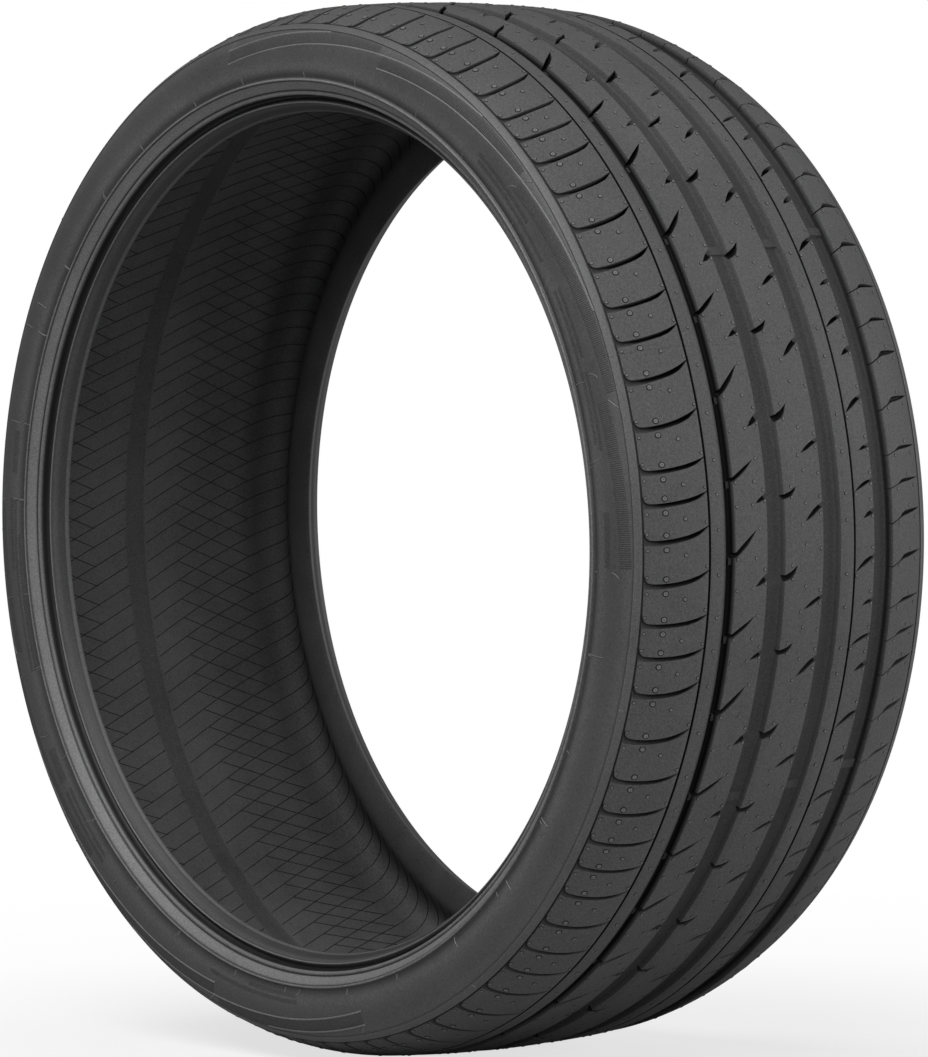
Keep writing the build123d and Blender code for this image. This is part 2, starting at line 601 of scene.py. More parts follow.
class Cut:
    """A slanted pocket in the tread, between two edges that run across it."""

    wall = 0.35
    wall_share = 0.45

    def __init__(self, upper, lower, upper_depth, lower_depth, start, pitch):
        """Edges hold place across and share of a pitch. Depths hold place across and depth."""
        self.upper = soften(upper)
        self.lower = soften(lower)
        self.upper[:, 1] = start + self.upper[:, 1] * pitch
        self.lower[:, 1] = start + self.lower[:, 1] * pitch
        self.upper_depth = upper_depth
        self.lower_depth = lower_depth

    def edges_at(self, across):
        """Upper edge, foot of the upper wall, foot of the lower wall and lower edge at places across."""
        upper = table_at(across, self.upper)
        lower = np.maximum(table_at(across, self.lower), upper)
        wall = np.minimum(self.wall, (lower - upper) * self.wall_share)
        return upper, upper + wall, lower - wall, lower

    def span(self):
        """Lowest and highest place across."""
        return self.upper[0, 0], self.upper[-1, 0]

    def lines(self, spacing=2.0):
        """The four edges as lines of points."""
        low, high = self.span()
        across = np.linspace(low, high, ceil((high - low) / spacing) + 1)
        across = np.unique(np.concatenate([across, self.upper[:, 0][::2]]))
        return [np.stack([across, edge], axis=-1) for edge in self.edges_at(across)]

    def depth_at(self, across, down):
        """Depth of the pocket at points of the tread."""
        low, high = self.span()
        upper, upper_foot, lower_foot, lower = self.edges_at(across)
        deep = table_at(across, self.upper_depth)
        shallow = table_at(across, self.lower_depth)
        wall = np.maximum(upper_foot - upper, TINY)
        floor_share = np.clip((down - upper_foot) / np.maximum(lower_foot - upper_foot, TINY), 0, 1)
        floor = deep + (shallow - deep) * floor_share
        rise = np.clip(np.minimum(down - upper, lower - down) / wall, 0, 1)
        inside = (across >= low - TINY) & (across <= high + TINY)
        inside = inside & (down > upper - TINY) & (down < lower + TINY)
        return np.where(inside, floor * rise, 0)

    def holds(self, across, down, margin):
        """Whether points lie in the pocket or within a margin of it."""
        low, high = self.span()
        upper, _, _, lower = self.edges_at(across)
        inside = (across > low - margin) & (across < high + margin)
        return inside & (down > upper - margin) & (down < lower + margin)


# Fall of the outer shoulder grooves, as place across and share of their whole fall
SHOULDER_FALL = [
    (-131.1, 0.93), (-128.6, 0.97), (-124.7, 1.0), (-118.9, 0.99), (-109.2, 0.87), (-99.5, 0.65),
    (-91.7, 0.39), (-86.9, 0.18), (-82.9, 0.0),
]
# Their whole fall as a share of a pitch, and where the two grooves of a pitch start
SHOULDER_FALL_SHARE = 0.158
SHOULDER_STARTS = (0.0, 0.5)
# Rounding of the block corner above each shoulder groove, and width of the groove, in millimetres
CORNER_ROUND = [
    (-131.1, 6.0), (-130.8, 3.6), (-130.1, 1.9), (-129.0, 0.7), (-127.1, 0.0),
]
SHOULDER_WIDTH = [
    (-131.1, 4.9), (-118.9, 4.2), (-109.2, 3.9), (-97.5, 3.9), (-90.8, 3.5), (-86.9, 2.5), (-84.6, 1.3),
    (-82.9, 0.4),
]
# Length of the pitch that has the full width, and the shares of the width that stay fixed and grow with it
FULL_PITCH = 69.6
FIXED_WIDTH = 0.55
GROWING_WIDTH = 0.45
# Depth of the shoulder grooves along their upper and lower sides
SHOULDER_DEEP = [
    (-131.1, 1.3), (-127.6, 1.3), (-123.7, 1.9), (-119.9, 3.4), (-115.0, 5.0), (-108.2, 6.0),
    (-85.9, 6.0), (-82.9, 4.4),
]
SHOULDER_SHALLOW = [
    (-131.1, 0.3), (-120.8, 0.35), (-113.1, 0.5), (-105.3, 0.8), (-97.5, 1.3), (-87.8, 2.6),
    (-82.9, 4.4),
]


def outer_shoulder_cuts(start, pitch):
    """Two grooves across the outer shoulder, which round the corner of the block above them."""
    places = sorted({place for place, _ in SHOULDER_FALL + CORNER_ROUND + SHOULDER_WIDTH})
    fall = table_at(places, SHOULDER_FALL) * SHOULDER_FALL_SHARE
    corner = table_at(places, CORNER_ROUND) / pitch
    stretch = FIXED_WIDTH + GROWING_WIDTH * pitch / FULL_PITCH
    width = table_at(places, SHOULDER_WIDTH) * stretch / pitch
    cuts = []
    for share in SHOULDER_STARTS:
        upper = np.stack([places, share + fall - corner], axis=-1)
        lower = np.stack([places, share + fall + width], axis=-1)
        cuts.append(Cut(upper, lower, SHOULDER_DEEP, SHOULDER_SHALLOW, start, pitch))
    return cuts


# Notches of the second, third and fourth rib: upper edge, lower edge and depth at the tip
RIB_NOTCHES = [
    [
        (
            [(-62.3, 0.352), (-59.3, 0.318), (-53.1, 0.232), (-46.4, 0.146), (-40.4, 0.07)],
            [(-62.3, 0.418), (-59.3, 0.393), (-53.1, 0.318), (-46.4, 0.215), (-40.4, 0.07)],
            3.0,
        ),
        (
            [(-41.3, 0.724), (-37.1, 0.64), (-30.8, 0.568), (-26.9, 0.536)],
            [(-41.3, 0.724), (-35.3, 0.704), (-30.8, 0.648), (-26.9, 0.613)],
            2.6,
        ),
    ],
    [
        (
            [(-17.7, 0.63), (-13.1, 0.606), (-7.5, 0.558), (-2.3, 0.495)],
            [(-17.7, 0.7), (-13.1, 0.684), (-7.5, 0.645), (-3.9, 0.577), (-2.3, 0.495)],
            3.0,
        ),
        (
            [(4.7, 0.014), (10.3, -0.089), (15.8, -0.155), (21.4, -0.202), (24.7, -0.223)],
            [(4.7, 0.014), (11.4, -0.025), (16.9, -0.09), (22.0, -0.144), (24.7, -0.168)],
            2.6,
        ),
    ],
    [
        (
            [(54.1, 0.622), (60.3, 0.513), (65.8, 0.458), (73.1, 0.417), (76.2, 0.405)],
            [(54.1, 0.622), (62.5, 0.556), (68.0, 0.504), (73.1, 0.457), (76.2, 0.437)],
            2.6,
        ),
        (
            [(62.0, 0.009), (65.8, -0.056), (70.3, -0.093), (73.6, -0.107), (76.2, -0.116)],
            [(62.0, 0.009), (66.9, -0.006), (71.4, -0.037), (73.6, -0.056), (76.2, -0.072)],
            2.6,
        ),
    ],
]
# Depth of a notch along its lower side, as a share of that along its upper side
NOTCH_SHALLOW = 0.45


def leaf(upper, lower, start, pitch, depth, tip_depth):
    """A notch that is deepest at its open end. Its tip is where the two edges meet."""
    first = upper[0][1] - lower[0][1]
    last = upper[-1][1] - lower[-1][1]
    ends = (depth, tip_depth) if abs(first) > abs(last) else (tip_depth, depth)
    depths = list(zip((upper[0][0], upper[-1][0]), ends))
    shallow = [(place, deep * NOTCH_SHALLOW) for place, deep in depths]
    return Cut(upper, lower, depths, shallow, start, pitch)


# Fall from the groove's edge of the inner shoulder cuts: a thin neck, then a leaf
INNER_UPPER = [
    (92.3, 0.0), (95.8, -0.029), (101.1, -0.064), (103.7, -0.105), (106.7, -0.14), (111.7, -0.155),
    (120.7, -0.169), (130.1, -0.182),
]
INNER_LOWER = [
    (92.3, 0.016), (95.8, -0.013), (101.1, -0.05), (103.7, -0.068), (106.9, -0.086), (113.6, -0.105),
    (121.7, -0.135), (130.1, -0.182),
]
INNER_DEPTH = [
    (92.3, 5.0), (98.7, 4.0), (104.7, 5.2), (114.7, 4.4), (123.7, 2.6), (130.2, 1.2),
]
# Where the two inner shoulder cuts of a pitch start
INNER_STARTS = (0.085, 0.585)


def inner_shoulder_cuts(start, pitch):
    """Two cuts across the inner shoulder, each a thin neck that opens into a leaf."""
    cuts = []
    for share in INNER_STARTS:
        upper = [(place, share + fall) for place, fall in INNER_UPPER]
        lower = [(place, share + fall) for place, fall in INNER_LOWER]
        cuts.append(Cut(upper, lower, INNER_DEPTH, INNER_DEPTH, start, pitch))
    return cuts


def pitch_cuts(lane, start, pitch, notch_depth):
    """Cuts of a lane in the pitch that starts at a place down the tread."""
    if lane == 0:
        return outer_shoulder_cuts(start, pitch)
    if lane > len(RIB_NOTCHES):
        return inner_shoulder_cuts(start, pitch)
    return [leaf(upper, lower, start, pitch, notch_depth, tip) for upper, lower, tip in RIB_NOTCHES[lane - 1]]


def lane_places(section, low, high):
    """Places across a lane: the lines of its section, and places that fill the gaps between them."""
    lines = [low] + [place for place in section[:, 0] if low + TINY < place < high - TINY] + [high]
    fill = []
    for start, end in zip(lines, lines[1:]):
        parts = ceil((end - start) / FILL_SPACING)
        fill += [start + (end - start) * step / parts for step in range(1, parts)]
    return np.array(lines), np.array(fill)


def lane_piece(lines, fill, rounds, cuts, section):
    """Triangles of one pitch of a lane. Returns places across, places down, depths, tones and faces."""
    grid = [(place, down, True) for place in lines for down in rounds]
    grid += [(place, down, down in (rounds[0], rounds[-1])) for place in fill for down in rounds]
    grid = np.array(grid, float)
    keep = grid[:, 2] > 0
    near = np.zeros(len(grid), bool)
    for cut in cuts:
        near |= cut.holds(grid[:, 0], grid[:, 1], CUT_MARGIN)
    grid = grid[keep | ~near][:, :2]

    points = [tuple(point) for point in grid]
    edges = []
    steps = len(rounds)
    for line in range(len(lines)):
        edges += [(line * steps + step, line * steps + step + 1) for step in range(steps - 1)]
    for cut in cuts:
        for line in cut.lines():
            first = len(points)
            points += [tuple(point) for point in line]
            edges += [(first + step, first + step + 1) for step in range(len(line) - 1)]

    origin = rounds[0]
    flat = [Vector((across, down - origin)) for across, down in points]
    found, _, faces, origins, _, _ = delaunay_2d_cdt(flat, edges, [], 0, 1e-4)
    spots = [
        points[source[0]] if source else (spot.x, spot.y + origin) for spot, source in zip(found, origins)
    ]
    across, down = np.array(spots).T
    depth = np.interp(across, section[:, 0], section[:, 1])
    tone = np.interp(across, section[:, 0], section[:, 2])
    for cut in cuts:
        extra = np.maximum(cut.depth_at(across, down) - depth, 0)
        depth = depth + extra
        tone = np.minimum(tone, table_at(extra, POCKET_PAINTED_SHADE))
    return across, down, depth, tone, np.array(faces)


def lane_cuts(lane, unit, starts, lengths, notch_depth):
    """Cuts of a lane in one pitch and the next, and how far the next is carried on past a full turn."""
    following = (unit + 1) % len(starts)
    wrap = lengths.sum() if following == 0 else 0.0
    cuts = pitch_cuts(lane, starts[unit], lengths[unit], notch_depth)
    cuts += pitch_cuts(lane, starts[following] + wrap, lengths[following], notch_depth)
    return cuts, following, wrap


def tread_mesh(settings):
    """The whole tread as places across, places down, depths, tones and triangles, joined at every seam."""
    section = tread_section(settings)
    notch_depth = settings.notch_depth / MM
    starts, lengths = pitch_table()
    turn = lengths.sum()
    shares = np.arange(ROUND_STEPS + 1) / ROUND_STEPS
    parts = []
    faces = []
    total = 0
    for lane, split in enumerate(LANE_SPLITS):
        lines, fill = lane_places(section, LANE_EDGES[lane], LANE_EDGES[lane + 1])
        for unit in range(len(starts)):
            cuts, following, wrap = lane_cuts(lane, unit, starts, lengths, notch_depth)
            own = starts[unit] + shares[shares >= split] * lengths[unit]
            before_split = shares[(shares > 0) & (shares <= split)]
            after = wrap + starts[following] + before_split * lengths[following]
            rounds = np.concatenate([own, after])
            middles = [0.5 * (cut.upper[:, 1].mean() + cut.lower[:, 1].mean()) for cut in cuts]
            cuts = [cut for cut, middle in zip(cuts, middles) if rounds[0] < middle < rounds[-1]]
            across, down, depth, tone, made = lane_piece(lines, fill, rounds, cuts, section)
            parts.append(np.stack([across, np.mod(down + 1e-7, turn), depth, tone]))
            faces.append(made + total)
            total += len(across)
    across, down, depth, tone = np.concatenate(parts, axis=1)
    spots = np.round(np.stack([across, down], axis=-1), 4)
    _, first, place = np.unique(spots, axis=0, return_index=True, return_inverse=True)
    faces = place.reshape(-1)[np.concatenate(faces)]
    return across[first], down[first], depth[first], tone[first], faces


class TYRE_OT_tread(Operator):
    """Builds the tread with its grooves, sipes, notches and shoulder grooves."""

    bl_idname = "tyre.tread"
    bl_label = "Tread"

    def execute(self, context):
        across, down, depth, tone, faces = tread_mesh(context.scene.tyre_tread)
        points = on_tread(across, angle_down(down), depth)
        add_piece("tread", points, faces[:, ::-1], "tread", 28, tone)
        return {"FINISHED"}


# Vent marks of one pitch, as place across and share of a pitch
VENT_MARKS = [
    (-74.9, 0.065), (-74.9, 0.565), (-58.0, 0.405), (-58.0, 0.76), (-41.3, 0.4), (-38.0, 0.063),
    (-33.5, 0.53), (-32.7, 0.69), (-43.7, 0.737), (-7.5, 0.5), (-7.1, 0.655), (1.8, 0.045), (5.4, 0.27),
    (5.4, 0.745), (19.6, -0.265), (19.6, -0.07), (19.6, 0.32), (45.4, 0.015), (45.4, 0.63),
    (55.1, 0.655), (71.1, 0.34), (71.3, 0.505), (70.3, -0.2), (71.3, -0.015),
]
VENT_RADIUS = 1.1
VENT_SIDES = 8
# Vent marks beside each shoulder groove: place across, millimetres from the groove's upper edge, and radius
OUTER_VENTS = [
    (-116.6, -3.2, 1.9), (-116.6, 7.2, 1.9), (-129.4, -4.2, 1.1), (-129.2, 7.6, 1.1),
    (-102.4, 13.5, 1.4), (-85.3, -3.4, 1.1),
]
INNER_VENTS = [(100.7, 3.2, 1.1), (114.7, -2.6, 1.1), (122.7, 6.2, 1.1)]
# Rings of a vent mark from its foot to its top: share of the radius, share of the height down, and tone
# The tone paints shade round the foot and a highlight on the ring near the top
VENT_RINGS = [
    (1.35, 0.3, 0.1), (1.2, -0.1, 0.05), (0.9, -0.9, 0.4), (0.65, -1.0, 2.4), (0.35, -0.6, 1.3),
]


def vent_mark(across, down, radius, height):
    """A low round stub that stands on the tread."""
    turn = np.arange(VENT_SIDES) * 2 * pi / VENT_SIDES
    rings = []
    for share, depth, _ in VENT_RINGS:
        around = across + share * radius * np.cos(turn)
        along = down + share * radius * np.sin(turn)
        rings.append(on_tread(around, angle_down(along), np.full(VENT_SIDES, depth * height)))
    side = np.arange(VENT_SIDES)
    after = np.roll(side, -1)
    faces = []
    for ring in range(len(rings) - 1):
        base, top = ring * VENT_SIDES, (ring + 1) * VENT_SIDES
        faces += np.stack([base + side, top + side, top + after, base + after], axis=-1).tolist()
    cap = (len(rings) - 1) * VENT_SIDES
    faces += [[cap, cap + step + 2, cap + step + 1, cap + step] for step in range(1, VENT_SIDES - 1, 2)]
    return np.concatenate(rings), faces


class TYRE_OT_vent_marks(Operator):
    """Builds the small round marks that the mould's vents leave on the tread."""

    bl_idname = "tyre.vent_marks"
    bl_label = "Vent marks"

    def execute(self, context):
        height = context.scene.tyre_tread.vent_height / MM
        spots = []
        for start, pitch in zip(*pitch_table()):
            spots += [(place, start + share * pitch, VENT_RADIUS) for place, share in VENT_MARKS]
            for outer, inner in zip(SHOULDER_STARTS, INNER_STARTS):
                for place, gap, radius in OUTER_VENTS:
                    edge = table_at(place, SHOULDER_FALL) * SHOULDER_FALL_SHARE
                    spots.append((place, start + (outer + edge) * pitch + gap, radius))
                for place, gap, radius in INNER_VENTS:
                    edge = table_at(place, INNER_UPPER)
                    spots.append((place, start + (inner + edge) * pitch + gap, radius))
        points, faces = join_meshes([vent_mark(place, down, radius, height) for place, down, radius in spots])
        tones = np.tile(np.repeat([tone for _, _, tone in VENT_RINGS], VENT_SIDES), len(spots))
        add_piece("vent_marks", points, faces, "tread", 40, tones)
        return {"FINISHED"}


# Grooves that have wear bars, and the angle of the first bar in each
WEAR_BARS = [(LEFT_GROOVE, 32.1), (RIGHT_GROOVE, 33.0), (INNER_GROOVE, 34.7)]
WEAR_BARS_ROUND = 6
WEAR_BAR_LENGTH = 6.4
# Bars in the outer groove under the mouth of each long notch: edges, share of a pitch, length and depth
TIE_EDGES = (-63.3, -59.8)
TIE_SHARE = 0.43
TIE_LENGTH = 4.4
TIE_DEPTH = 4.4
# Points across a bar, and the run of its sloping ends
BAR_COLUMNS = 5
BAR_SLOPE = 0.9
# Angles of the mould's parting lines, and half the width and the height of their ridges
PARTING_ANGLES = [60.7, 21.0, -17.8, -59.0, -99.0, -139.0, 181.0, 141.0, 101.0]
PARTING_HALF_WIDTH = 0.35
PARTING_HEIGHT = 0.14


def across_tread(across, down, rows):
    """A strip across the tread, from rows given as distance further down and depth."""
    strip = [
        on_tread(across, angle_down(np.full(len(across), down + place)), np.full(len(across), depth))
        for place, depth in rows
    ]
    return np.concatenate(strip), grid_faces(len(rows), len(across))


def tread_bar(low, high, down, length, top, foot):
    """A low bar across the floor of a groove."""
    end = length / 2
    rows = [(-end - BAR_SLOPE, foot), (-end, top), (end, top), (end + BAR_SLOPE, foot)]
    return across_tread(np.linspace(low, high, BAR_COLUMNS), down, rows)


class TYRE_OT_tread_bars(Operator):
    """Builds the wear bars and tie bars on the groove floors."""

    bl_idname = "tyre.tread_bars"
    bl_label = "Tread bars"

    def execute(self, context):
        settings = context.scene.tyre_tread
        foot = settings.groove_depth / MM + 0.2
        top = (settings.groove_depth - settings.wear_bar_height) / MM
        bars = []
        for (low, high), angle in WEAR_BARS:
            for turn in range(WEAR_BARS_ROUND):
                down = radians(FIRST_PITCH - angle - 360 / WEAR_BARS_ROUND * turn) * TREAD_RADIUS
                bars.append(tread_bar(low + 0.4, high - 0.4, down, WEAR_BAR_LENGTH, top, foot))
        ties = [
            tread_bar(*TIE_EDGES, start + TIE_SHARE * pitch, TIE_LENGTH, TIE_DEPTH, foot)
            for start, pitch in zip(*pitch_table())
        ]
        # The bars are darkened like the groove floors they sit on, as painted shade
        add_piece("wear_bars", *join_meshes(bars), "tread", 30, 0.7)
        add_piece("tie_bars", *join_meshes(ties), "tread", 30, 0.4)
        return {"FINISHED"}


class TYRE_OT_parting_lines(Operator):
    """Builds the thin lines that the joints of the mould leave across the tread."""

    bl_idname = "tyre.parting_lines"
    bl_label = "Parting lines"

    def execute(self, context):
        settings = context.scene.tyre_tread
        section = tread_section(settings)
        starts, lengths = pitch_table()
        across = np.arange(-130.5, 130.6, 1.5)
        rows = [(-PARTING_HALF_WIDTH, 0.1), (0, -PARTING_HEIGHT), (PARTING_HALF_WIDTH, 0.1)]
        parts = []
        for angle in PARTING_ANGLES:
            down = np.mod(radians(FIRST_PITCH - angle) * TREAD_RADIUS, lengths.sum())
            unit = int(np.searchsorted(starts, down, "right")) - 1
            depth = np.interp(across, section[:, 0], section[:, 1])
            for lane in range(len(LANE_SPLITS)):
                for number in (unit - 1, unit):
                    cuts, _, _ = lane_cuts(lane, number, starts, lengths, settings.notch_depth / MM)
                    for cut in cuts:
                        depth = np.maximum(depth, cut.depth_at(across, np.full(len(across), down)))
            bare = np.flatnonzero(depth < 0.05)
            for run in np.split(bare, np.flatnonzero(np.diff(bare) > 1) + 1):
                if len(run) > 1:
                    parts.append(across_tread(across[run], down, rows))
        add_piece("parting_lines", *join_meshes(parts), "tread", 60)
        return {"FINISHED"}


# Outline of a sidewall as radius, place across and tone, from the edge of the tread to the toe of the bead
# The tone paints highlights on the ridges and bead edges and shade in the grooves and creases, besides the
# wall's own darker bands
SIDEWALL = [
    (370.0, 131.5, 0.5), (371.2, 132.3, 0.6), (371.3, 132.9, 1.1), (370.7, 133.8, 1.0),
    (369.2, 135.6, 1.0), (367.7, 137.2, 1.1), (367.3, 137.0, 0.5), (366.8, 137.0, 0.4),
    (366.4, 137.4, 0.92), (363.0, 139.2, 0.86), (358.0, 141.1, 0.72), (352.0, 142.4, 0.72),
    (346.0, 142.9, 0.82), (340.0, 143.0, 1.02), (336.6, 142.8, 0.72), (334.4, 142.2, 0.42),
    (333.0, 141.6, 0.55), (332.2, 141.5, 0.6), (331.7, 142.2, 0.9), (331.4, 143.0, 1.72),
    (330.8, 143.4, 1.84), (330.2, 143.3, 1.84), (329.9, 142.8, 1.15), (329.8, 142.2, 0.46),
    (329.3, 141.9, 0.57), (328.9, 141.9, 1.72), (326.0, 139.3, 1.95), (323.6, 137.2, 1.95),
    (323.3, 136.6, 0.34), (323.0, 136.0, 0.29), (322.7, 136.2, 0.69), (321.9, 136.7, 1.4),
    (320.9, 136.7, 1.7), (320.1, 136.2, 1.7), (319.7, 135.4, 1.6), (319.6, 134.5, 1.2),
    (319.9, 133.5, 0.6), (320.2, 131.8, 0.2), (319.9, 129.8, 0.15), (319.0, 128.3, 0.15),
    (318.0, 127.9, 0.17), (317.1, 128.4, 0.28), (315.8, 129.7, 0.7), (314.8, 130.9, 1.4),
    (314.2, 131.1, 1.82), (313.8, 130.6, 1.4), (313.5, 129.7, 0.49), (313.1, 128.6, 0.98),
    (312.4, 126.6, 0.84), (311.4, 124.9, 0.49), (310.3, 123.3, 0.42), (309.3, 121.7, 0.49),
    (309.0, 121.0, 0.35), (308.5, 120.3, 1.12), (307.8, 118.9, 1.12), (307.6, 118.2, 0.84),
    (307.9, 117.6, 0.84),
]
# How much fuller the inner sidewall is, by radius
INNER_BULGE = [(340.0, 0.0), (352.0, 0.2), (358.0, 1.3), (363.0, 2.3), (367.5, 2.2), (371.3, 0.0)]
# Radii between which a sidewall is smooth, radius at which its relief is laid out flat, and steps in a turn
SMOOTH_WALL = (329.8, 371.25)
WALL_RADIUS = 350.0
WALL_STEPS = 480


def wall_outline(side):
    """Outline of a sidewall as radius, place across and tone. The inner side, which faces +Y, is fuller."""
    outline = soften(SIDEWALL, 1)
    if side > 0:
        outline[:, 1] += table_at(outline[:, 0], INNER_BULGE)
    return outline


def on_wall(radius, angle, height, side):
    """Points at a height over the smooth part of a sidewall."""
    outline = wall_outline(side)
    low, high = SMOOTH_WALL
    outline = outline[(outline[:, 0] > low) & (outline[:, 0] < high)][::-1, :2]
    slope = table_at(radius + 0.5, outline) - table_at(radius - 0.5, outline)
    length = np.sqrt(1 + slope**2)
    across = table_at(radius, outline) + height / length
    out = radius - height * slope / length
    return np.stack([out * np.cos(angle), side * across, out * np.sin(angle)], axis=-1)


def wall_ridge(radius, angle, half_width, height, side):
    """A rounded ridge along a path on a sidewall, given as radius and angle."""
    flat = np.stack([radius, angle * WALL_RADIUS], axis=-1)
    direction = np.gradient(flat, axis=0)
    direction /= np.linalg.norm(direction, axis=1)[:, None]
    rows = []
    for shift, lift in ((-1, -0.1), (-0.6, 0.75), (0, 1.0), (0.6, 0.75), (1, -0.1)):
        spot = flat + np.stack([-direction[:, 1], direction[:, 0]], axis=-1) * half_width * shift
        rows.append(on_wall(spot[:, 0], spot[:, 1] / WALL_RADIUS, height * lift, side))
    faces = grid_faces(len(rows), len(radius))
    return np.concatenate(rows), faces if side > 0 else faces[:, ::-1]


class TYRE_OT_sidewalls(Operator):
    """Builds both sidewalls with the ribs round their beads."""

    bl_idname = "tyre.sidewalls"
    bl_label = "Sidewalls"

    def execute(self, context):
        for name, side in SIDES:
            outline = split_long(wall_outline(side), 3.0)
            points, faces = revolved(outline[:, :2] * (1, side), WALL_STEPS)
            if side > 0:
                faces = faces[:, ::-1]
            # The outline's tones bring painted highlights and painted shade onto the walls
            add_piece(f"{name}_sidewall", points, faces, "sidewall", 40, np.tile(outline[:, 2], WALL_STEPS))
        return {"FINISHED"}


# Angle at which each sweep panel ends, in one half turn, and the degrees from one to the next
SWEEP_ENDS = [16.6, 45.0, 73.4, 101.8]
SWEEP_TURN = 28.4
# Lower edge of a sweep panel, as degrees from its end and radius
SWEEP_EDGE = [
    (-47.6, 366.6), (-38.8, 364.1), (-29.2, 360.9), (-21.2, 358.3), (-13.2, 355.9), (0.0, 350.7),
]
# Where the first panel starts, as degrees from its end, and the radius that no panel passes
FIRST_SWEEP_START = -19.0
SWEEP_TOP = 366.2
# Section of a sweep panel, as share of the way up it and share of its height
SWEEP_SECTION = [(0, -0.3), (0, 0), (0.04, 1), (0.25, 1), (0.5, 1), (0.75, 1), (0.96, 1), (1, 0), (1, -0.3)]
SWEEP_STEPS = 40
# Sweeps whose lower edge has a raised lip: angle of the end, and degrees from there where the lip stops
SWEEP_LIPS = [(73.4, 0.0), (101.8, 0.0), (130.2, -SWEEP_TURN)]
LIP_START = -47.0
LIP_HALF_WIDTH = 0.75
# Short ridge at the end of each panel: radii of its ends, and half its width
TICK_RADII = (SWEEP_TOP, 360.6)
TICK_HALF_WIDTH = 0.45


def sweep_panel(end, first, height, side):
    """A thin panel between the lower edge of a sweep and that of the next one."""
    from_end = np.linspace(first, 0, SWEEP_STEPS)
    low = table_at(from_end, SWEEP_EDGE)
    high = np.minimum(table_at(from_end - SWEEP_TURN, SWEEP_EDGE) - 0.4, SWEEP_TOP)
    share, lift = np.transpose(SWEEP_SECTION)
    radius = low[:, None] + (high - low)[:, None] * share
    lift = np.repeat((lift * height)[None], len(from_end), axis=0)
    lift[[0, -1]] = lift[0, 0]
    angle = np.repeat(np.radians(end + from_end)[:, None], len(share), axis=1)
    points = on_wall(radius.ravel(), angle.ravel(), lift.ravel(), side)
    faces = grid_faces(*radius.shape)
    return points, faces if side < 0 else faces[:, ::-1]


class TYRE_OT_sweep_panels(Operator):
    """Builds the textured sweep panels of both sidewalls, and the lips on their edges."""

    bl_idname = "tyre.sweep_panels"
    bl_label = "Sweep panels"

    def execute(self, context):
        settings = context.scene.tyre_sidewall
        panel_height, lip_height = settings.panel_height / MM, settings.lip_height / MM
        for name, side in SIDES:
            panels, lips = [], []
            for half in (0, 180):
                for end in SWEEP_ENDS:
                    first = -SWEEP_TURN + 0.3 if end > SWEEP_ENDS[0] else FIRST_SWEEP_START
                    panels.append(sweep_panel(end + half, first, panel_height, side))
                    tick = np.radians(np.linspace(end - 1.3, end - 0.2, 6) + half)
                    radius = np.linspace(*TICK_RADII, 6)
                    lips.append(wall_ridge(radius, tick, TICK_HALF_WIDTH, lip_height, side))
                for end, stop in SWEEP_LIPS:
                    from_end = np.linspace(LIP_START, stop, SWEEP_STEPS)
                    angle = np.radians(end + half + from_end)
                    radius = table_at(from_end, SWEEP_EDGE)
                    lips.append(wall_ridge(radius, angle, LIP_HALF_WIDTH, lip_height, side))
            add_piece(f"{name}_sweep_panels", *join_meshes(panels), "panel", 30)
            # The lips and ticks are lightened as a painted highlight
            add_piece(f"{name}_sweep_lips", *join_meshes(lips), "sidewall", 60, 1.7)
        return {"FINISHED"}


# Bands of fine bars: first and last angle, and the radii of their feet and tops
FINE_BANDS = [
    (-2.3, 4.0, 344.0, 349.0), (11.2, 20.4, 346.0, 348.9), (22.2, 31.0, 346.0, 348.9),
    (12.0, 31.0, 341.4, 344.4), (40.4, 52.0, 345.6, 348.6), (35.2, 51.6, 340.8, 344.0),
    (168.4, 173.6, 341.8, 348.0), (177.0, 186.0, 345.4, 349.2), (177.0, 199.4, 340.8, 344.2),
    (181.6, 199.4, 336.6, 339.4), (210.0, 214.6, 341.6, 350.6), (216.0, 227.0, 346.0, 349.4),
    (216.0, 227.0, 340.4, 343.8), (252.4, 269.4, 341.4, 344.6), (260.0, 269.4, 336.8, 339.8),
]
# Spacing of the bars, and half the width of one
BAR_SPACING = 1.15
BAR_HALF_WIDTH = 0.3


class TYRE_OT_fine_bands(Operator):
    """Builds the bands of fine radial bars on both sidewalls."""

    bl_idname = "tyre.fine_bands"
    bl_label = "Fine bands"

    def execute(self, context):
        height = context.scene.tyre_sidewall.bar_height / MM
        for name, side in SIDES:
            bars = []
            for first, last, low, high in FINE_BANDS:
                radius = np.linspace(low, high, 3)
                count = int(radians(last - first) * low / BAR_SPACING)
                for angle in np.radians(np.linspace(first, last, count)):
                    bars.append(wall_ridge(radius, np.full(3, angle), BAR_HALF_WIDTH, height, side))
            add_piece(f"{name}_fine_bands", *join_meshes(bars), "sidewall", 30, 0.45)
        return {"FINISHED"}


# Vent hairs round the bead edge: degrees within each part of a turn, and the radii of their ends
EDGE_HAIRS = [(9.5, 332.6, 337.4), (19.6, 332.6, 336.6)]
EDGE_HAIR_PARTS = 16
